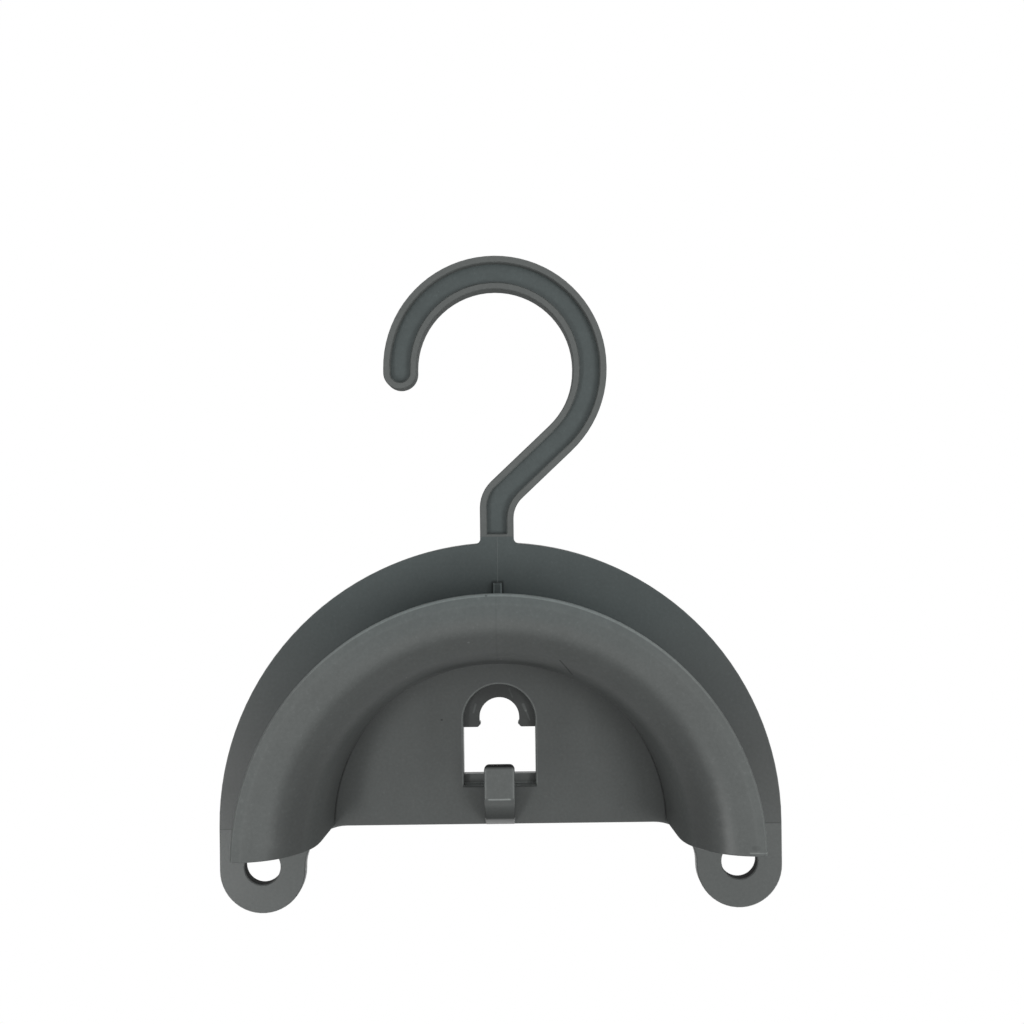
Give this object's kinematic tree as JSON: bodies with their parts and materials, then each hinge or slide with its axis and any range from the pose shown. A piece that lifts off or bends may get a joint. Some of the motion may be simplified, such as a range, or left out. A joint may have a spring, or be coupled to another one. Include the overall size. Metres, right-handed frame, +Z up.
{
  "type": "hose hanger",
  "caption": "Moulded hose hanger: a question-mark hook above a half-round back plate with a flared saddle for the coil, a keyhole pocket, a small strap hook and screw tabs.",
  "frame": {"origin": "crown of the hook's bow, on its inside and midway through its thickness, where a rod carries the hanger", "axes": "+Z up along the hook's stem, +X to the right seen from the front, -Y out of the front towards the saddle's lip"},
  "size_m": [0.16, 0.0381, 0.1864],
  "materials": {
    "moulded_plastic": "dark grey, fine moulded grain, satin"
  },
  "bodies": {
    "root": {"hanger_body": "moulded_plastic"}
  },
  "joints": []
}
